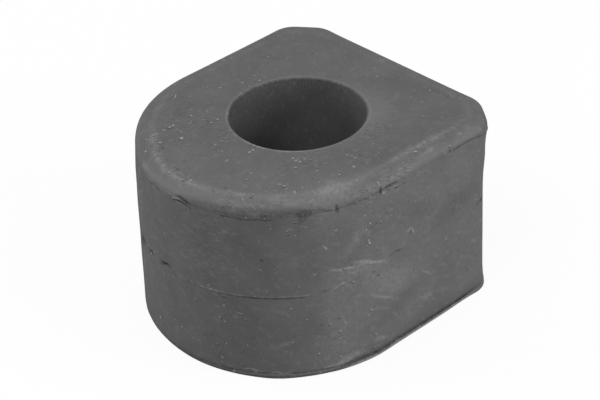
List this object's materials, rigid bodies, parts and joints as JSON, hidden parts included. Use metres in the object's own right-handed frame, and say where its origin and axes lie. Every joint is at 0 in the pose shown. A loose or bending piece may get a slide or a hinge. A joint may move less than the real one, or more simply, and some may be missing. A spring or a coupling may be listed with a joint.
{
  "type": "sway bar bushing",
  "caption": "Solid rubber D-section bushing with a through bore for an anti-roll bar, a flat saddle face with cut corners and a round crown for a clamp bracket.",
  "frame": {"origin": "on the bore axis, at the lower end face", "axes": "+Z along the bore, towards the end face with the rounded edge; +Y towards the flat saddle face; the crown faces -Y"},
  "size_m": [0.0516, 0.056, 0.036],
  "materials": {
    "rubber": "matt, as moulded, faintly mottled, with light dust"
  },
  "bodies": {
    "root": {"bushing": "rubber"}
  },
  "joints": []
}
